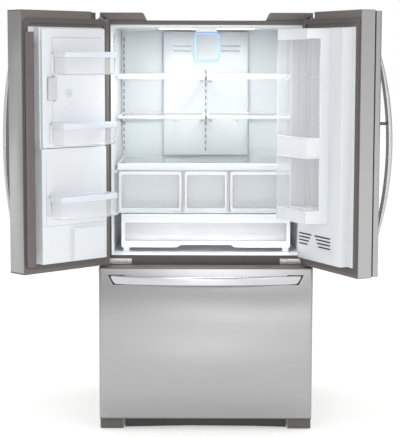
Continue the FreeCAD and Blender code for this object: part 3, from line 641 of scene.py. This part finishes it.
# ---- left door ----
def ice_door_details():
    """Seams of the ice door and the liner, and a plain six-armed mark."""
    y = LINER_FACE
    bm = bmesh.new()
    for sides in ((116, 117.6, 1330, 1664), (116, 372, 1662.4, 1664)):
        bar(bm, sides, 0.7, y - 0.3, y + 0.12, facing, steps=2)
    piece("ice_door_seams", bm, "print_grey", "ice_door", left)
    bm = bmesh.new()
    for sides in ((64, 390, 904, 905.4), (80, 81.4, 908, 1180)):
        bar(bm, sides, 0.6, y - 0.3, y + 0.12, facing, steps=2)
    piece("liner_seams", bm, "print_grey", "left_door", left)
    bm = bmesh.new()
    cx, cz, r, line = 200, 1440, 17, 1.5
    ring(bm, circle(cx, cz, r, 36), circle(cx, cz, r - line, 36), lambda u, v, w: (u, y - 0.2 + 0.42 * w, v))
    for turn in (0, 60, 120):
        for reach, offset, twist in ((11, 0, 0), (4, 7, 50), (4, 7, -50), (4, -7, 50), (4, -7, -50)):
            a = math.radians(turn + 90)
            b = a + math.radians(twist)
            ox, oz = cx + offset * math.cos(a), cz + offset * math.sin(a)
            lo, hi = (-reach, reach) if not offset else (0, reach * (1 if offset > 0 else -1))
            dx, dz = math.cos(b), math.sin(b)
            stroke = ((lo, -0.6), (hi, -0.6), (hi, 0.6), (lo, 0.6))
            corners = [(ox + dx * t - dz * s, oz + dz * t + dx * s) for t, s in stroke]
            loft(bm, [[(u, y + w, v) for u, v in corners] for w in (-0.2, 0.2)])
    piece("ice_door_mark", bm, "print_blue", "ice_door", left, smooth=False)


def ice_maker():
    """Ice bucket and maker behind the ice door."""
    bm = bmesh.new()
    vessel(bm, 96, 366, -76, 18, 1246, 1500, 3, 16, 8)
    piece("ice_bucket", bm, "clear_plastic", "left_door", left, bevel=0.6, segments=2)
    bm = bmesh.new()
    housings = ((110, 350, 1530, 1600, 4), (300, 362, 1515, 1660, 14), (120, 290, 1604, 1650, -8))
    for x0, x1, z0, z1, y1 in housings:
        loft(bm, [[(u, v, z) for u, v in rounded(x0 + i, x1 - i, -80, y1 - i, 8)]
                  for i, z in ((2, z0), (0, z0 + 3), (0, z1 - 3), (2, z1))])
    for i in range(8):
        x = 122 + 21 * i
        bar(bm, (4, 12, 1536, 1592), 3, x, x + 13, across)
    piece("ice_maker", bm, "frosted", "left_door", left, bevel=1.2, segments=2)


def gasket(name, node, x0, x1, z0, z1, place, body, width=20):
    """Soft magnetic seal: a rounded head on a folded bellows."""
    profile = ((0.5, -8.0), (0.0, -5.4), (2.2, -3.8), (0.2, -2.6), (1.4, -1.0), (width * 0.35, -0.85),
               (width * 0.5, -1.6), (width * 0.65, -0.85), (width - 1.4, -1.0), (width - 0.2, -2.6),
               (width - 2.2, -3.8), (width, -5.4), (width - 0.5, -8.0))
    bm = bmesh.new()
    slab(bm, (x0, x1, z0, z1), 24, profile, facing, fade=0.8, closed=True)
    piece(name, bm, "gasket", body, place, replaces=node)


def bowed_bar(name, finish, body, node, place, outer_ends, inner_ends, outer_bow, inner_bow, half, slant,
              to_point):
    """A bowed handle whose feet run into the door: rounded sections between two arcs."""
    def arc(ends, bow, t):
        a, b = ends
        span = (b - a) / 2
        radius = (span * span + bow * bow) / (2 * bow)
        s = (2 * t - 1) * span
        return (a + b) / 2 + s, math.sqrt(radius * radius - s * s) - (radius - bow)

    bm = bmesh.new()
    loops = []
    steps, sides = 48, 20
    for i in range(steps + 1):
        t = 0.5 - 0.5 * math.cos(math.pi * i / steps)
        o, n = arc(outer_ends, outer_bow, t), arc(inner_ends, inner_bow, t)
        loop = []
        for k in range(sides):
            a = 2 * math.pi * k / sides
            c, s = math.cos(a), math.sin(a)
            u = 0.5 + 0.5 * math.copysign(abs(c) ** 0.75, c)
            w = math.copysign(abs(s) ** 0.55, s) * half
            along, out = n[0] + (o[0] - n[0]) * u, n[1] + (o[1] - n[1]) * u
            mid = (outer_ends[0] + outer_ends[1]) / 2
            along = mid + (along - mid) * (1 - slant * (half - w) / (2 * half))
            loop.append(to_point(along, max(out, 0.2), w))
        loops.append(loop)
    loft(bm, loops)
    piece(name, bm, finish, body, place, replaces=(node,))


BAR_Z = 651  # height of the drawer handle's middle
HANDLE_X = 41  # distance of a door handle's middle from the closed doors' centre line


def handle_shadow_plates():
    """Painted shadow: dark plates round the two feet of the drawer handle."""
    corners = ((345, 21), (414, 21), (393, -21.5), (345, -21.5))
    bm = bmesh.new()
    for side in (-1, 1):
        loft(bm, [[(side * (x - i), y, BAR_Z + z * (1 - i / 40)) for x, z in corners]
                  for i, y in ((0, -107.6), (0, -108.5), (0.6, -108.9))])
    piece("drawer_handle_shadow_plates", bm, "painted_shade_dark", "freezer_drawer", bevel=0.3, segments=2)


def dispenser_details():
    """Generic touch marks on the control panel, the nozzle, and the drip grille."""
    bm = bmesh.new()
    y = -111.0
    pitch = 31
    for i in range(5):
        bar(bm, (150 + pitch * i, 166 + pitch * i, 1244, 1247), 1.4, y - 0.25, y + 0.3, facing, steps=3)
        cx = 158 + pitch * i
        ring(bm, circle(cx, 1262, 6, 18), circle(cx, 1262, 5, 18), lambda u, v, w: (u, y + 0.3 - 0.5 * w, v))
    for x0, x1, z in ((196, 244, 1302), (206, 234, 1292)):
        bar(bm, (x0, x1, z, z + 4), 1.8, y - 0.25, y + 0.3, facing, steps=3)
    piece("dispenser_marks", bm, "print_grey", "left_door", left)
    bm = bmesh.new()
    levels = ((26, 1218.5), (24, 1206), (17, 1200), (15, 1199), (13, 1204), (12, 1214))
    loft(bm, [[level(u, v, z) for u, v in circle(220, -84, r, 24, flat=0.62)] for r, z in levels])
    piece("dispenser_nozzle", bm, "latch_grey", "left_door", left, bevel=0.6, segments=2)
    bm = bmesh.new()
    for i in range(13):
        x = 144 + 12 * i
        bar(bm, (-104, -56, 1030.3, 1034), 1.2, x, x + 6, across, steps=2)
    bar(bm, (-106, -102, 1030.3, 1036), 1.2, 138, 302, across, steps=2)
    piece("dispenser_drip_grille", bm, "bright_steel", "left_door", left, bevel=0.4,
          segments=2)


# ---- right door ----
def vent_shades():
    """Painted shade: a dark sheet behind the two sets of vents, standing for the shaded duct."""
    bm = bmesh.new()
    for x0, x1 in ((132, 266), (282, 390)):
        bar(bm, (x0, x1, 804, 866), 4, 33.6, 36.6, facing)
    piece("vent_shades", bm, "painted_shade_dark", "right_door", right)


def tower_details():
    """Rounded lips along the compartment bars and a hinge seam on their front."""
    bm = bmesh.new()
    for z in (970, 1184, 1264, 1658):
        bar(bm, (141, 146.2, z - 2, z + 3.4), 1.6, 158, 395, across)
    for z in (1186, 1264):
        bar(bm, (154.4, 159, 84, 143), 1.6, z - 2, z + 3, level)
    piece("tower_lips", bm, "white_plastic", "right_door", right, bevel=0.4, segments=2)


def door_in_door_panels():
    """Steel wrap on the inner door's two upright sides, and the grey inside of the outer door."""
    bm = bmesh.new()
    for x0, x1, top in ((2.2, 3.0, 1770), (453.0, 453.8, 1738)):
        bar(bm, (-72, -10, 712, top), 2, x0, x1, across)
    piece("inner_door_wrap", bm, "stainless", "right_door", right, bevel=0.2, segments=2)
    bm = bmesh.new()
    for x0, x1 in ((2.2, 3.0), (453.0, 453.8)):
        bar(bm, (-98.4, -78.6, 715, 1767), 2, x0, x1, across)
    piece("outer_door_wrap", bm, "stainless", "outer_door", right, bevel=0.2, segments=2)
    bm = bmesh.new()
    ring(bm, rounded(165.2, 387.8, 972.2, 1659.8, 3), rounded(166.4, 386.6, 973.4, 1658.6, 3),
         lambda u, v, w: (u, -72.4 + 64 * w, v))
    piece("passage_lining", bm, "white_plastic", "right_door", right, bevel=0.3, segments=2)
    bm = bmesh.new()
    slab(bm, (170, 384, 976, 1656), 14, ((0, -79), (0, -77.8), (1, -77.2)), facing)
    for z in (1120, 1310, 1500):
        slab(bm, (186, 368, z, z + 6), 2.5, ((0, -77.4), (0.6, -76.4)), facing)
    piece("outer_door_inner_panel", bm, "panel_grey", "outer_door", right, bevel=0.3,
          segments=2)


for node_name, edge_radius in SOFTENED.items():
    soften(node_name, edge_radius)
ceiling_lamp()
filter_cover_details()
wall_ports()
track_slots()
cover_trim()
rear_details()
hinge_hardware()
for body_name in ("crisper_left", "crisper_center", "crisper_right"):
    crisper(body_name)
pantry()
for body_name in BINS:
    door_bin(body_name, left)
bin_lugs()
ice_door_details()
ice_maker()
gasket("left_gasket_bellows", ("left_door_gasket",), 8, 438, 728, 1738, left, "left_door")
gasket("drawer_gasket_bellows", ("drawer_gasket",), -436, 436, 52, 700, here, "freezer_drawer", width=12)
handle_shadow_plates()
dispenser_details()
vent_shades()
tower_details()
door_in_door_panels()
for bar_name, bar_node, bar_body, bar_place in (
    ("left_handle_bar", "left_door_handle", "left_door", left),
    ("outer_handle_bar", "outer_handle", "outer_door", right),
):
    bowed_bar(bar_name, "handle_steel", bar_body, bar_node, bar_place, outer_ends=(834, 1633),
              inner_ends=(872, 1595), outer_bow=76, inner_bow=54, half=13, slant=0.0,
              to_point=lambda along, out, w: (HANDLE_X + w, DOOR_FRONT - out, along))
bowed_bar("drawer_handle_bar", "handle_level", "freezer_drawer", "drawer_handle", here,
          outer_ends=(-410, 410), inner_ends=(-376, 376), outer_bow=54, inner_bow=36, half=19, slant=0.05,
          to_point=lambda along, out, w: (along, DOOR_FRONT - out, BAR_Z + w))


# ---- camera, floor and light ----
def stage_plane():
    """Pale floor that runs out to the horizon."""
    reach = 45
    bm = bmesh.new()
    corners = ((-reach, -reach), (reach, -reach), (reach, reach), (-reach, reach))
    bm.faces.new([bm.verts.new((x, y, 0)) for x, y in corners])
    mesh = bpy.data.meshes.new("floor")
    bm.to_mesh(mesh)
    bm.free()
    floor = bpy.data.objects.new("floor", mesh)
    bpy.context.scene.collection.objects.link(floor)
    g = Graph("floor")
    g.link(g.mix(g.noise(0.8), srgb(250, 250, 250), srgb(253, 253, 253)), g.bsdf.inputs["Base Color"])
    g.link(g.span(g.noise(6), 0.75, 0.9), g.bsdf.inputs["Roughness"])
    g.set(Emission_Color=(1, 1, 1, 1), Emission_Strength=0.44)
    mesh.materials.append(g.material)


def area(name, place, target, width, height, power, spread=180):
    """A soft lamp at place that faces target; sizes in metres, power in watts."""
    lamp = bpy.data.lights.new(name, "AREA")
    lamp.shape = "RECTANGLE"
    lamp.size = width
    lamp.size_y = height
    lamp.energy = power
    lamp.spread = math.radians(spread)
    obj = bpy.data.objects.new(name, lamp)
    obj.location = place
    obj.rotation_euler = (Vector(target) - Vector(place)).to_track_quat("-Z", "Y").to_euler()
    bpy.context.scene.collection.objects.link(obj)


SKY_STRENGTH = 0.62
LAMPS = (  # name, place, target, width, height, power, spread
    ("key", (-1.1, -6.8, 3.2), (0, 0, 0.9), 1.6, 1.8, 44),
    ("fill", (2.4, -5.6, 2.0), (0, 0, 1.0), 1.4, 2.4, 22),
    ("top", (0, 0.2, 4.6), (0, 0.3, 0), 5.0, 5.0, 30),
    ("low", (0, -6.6, 0.7), (0, 0, 1.0), 2.2, 0.8, 12),
    ("pool", (0.04, -3.3, 2.4), (0.04, -3.4, 0), 0.15, 4.4, 7, 30),  # floor strip seen in the drawer
    ("right_panel", (3.6, -2.6, 1.2), (0.6, -0.4, 1.2), 1.0, 2.4, 5),
    ("left_panel", (-4.0, 0.1, 1.2), (-0.8, -0.4, 1.2), 1.0, 2.4, 4),
    ("sill", (0, 0.03, 0.748), (0, 0.45, 0.86), 0.7, 0.015, 0.4),
)


def light():
    """A pale sky that lights the object, shown as plain white behind it, and the soft lamps."""
    scene = bpy.context.scene
    scene.view_settings.view_transform = "Standard"
    world = bpy.data.worlds.new("studio")
    scene.world = world
    world.use_nodes = True
    sky = world.node_tree.nodes["Background"]
    sky.inputs[0].default_value = (1.0, 0.995, 0.985, 1)
    sky.inputs[1].default_value = SKY_STRENGTH
    paper = world.node_tree.nodes.new("ShaderNodeBackground")
    paper.inputs[0].default_value = (1, 1, 1, 1)
    rays = world.node_tree.nodes.new("ShaderNodeLightPath")
    either = world.node_tree.nodes.new("ShaderNodeMixShader")
    links = world.node_tree.links
    links.new(rays.outputs["Is Camera Ray"], either.inputs[0])
    links.new(sky.outputs[0], either.inputs[1])
    links.new(paper.outputs[0], either.inputs[2])
    links.new(either.outputs[0], world.node_tree.nodes["World Output"].inputs[0])
    for lamp in LAMPS:
        area(*lamp)



def camera():
    """Standing eye height, almost square in front and tipped down a little."""
    data = bpy.data.cameras.new("camera")
    obj = bpy.data.objects.new("camera", data)
    obj.location = (-0.0203, -5.9713, 1.5765)
    turns = ((0.049, "Z"), (90 - 6.465, "X"), (0.123, "Z"))
    aim = Matrix()
    for degrees, axis in turns:
        aim = aim @ Matrix.Rotation(math.radians(degrees), 4, axis)
    obj.rotation_euler = aim.to_euler()
    data.lens = 115.58
    data.clip_end = 60
    bpy.context.scene.collection.objects.link(obj)
    bpy.context.scene.camera = obj


stage_plane()
light()
camera()
